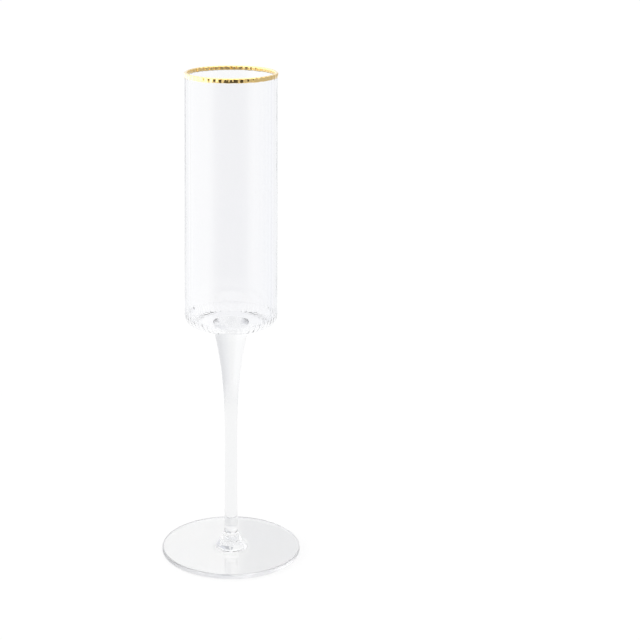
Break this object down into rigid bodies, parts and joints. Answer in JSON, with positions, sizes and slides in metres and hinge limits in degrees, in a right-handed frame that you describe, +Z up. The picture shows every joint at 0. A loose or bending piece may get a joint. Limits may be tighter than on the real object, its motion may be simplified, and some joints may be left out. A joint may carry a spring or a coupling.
{
  "type": "champagne flute",
  "caption": "Tall straight-sided champagne flute in clear glass, with fine optic ribs, a drawn stem, a round foot and a gilt lip.",
  "frame": {"origin": "centre of the flat face that the foot rests on", "axes": "+Z up the flute's axis to its mouth; the flute is round, so +X and +Y are any two square directions"},
  "size_m": [0.072, 0.072, 0.25],
  "materials": {
    "clear_glass": "clear, fire-polished",
    "gilding": "bright fired gold"
  },
  "bodies": {
    "root": {"foot": "clear_glass", "stem": "clear_glass", "bowl": "clear_glass", "gilt_rim": "gilding"}
  },
  "joints": []
}
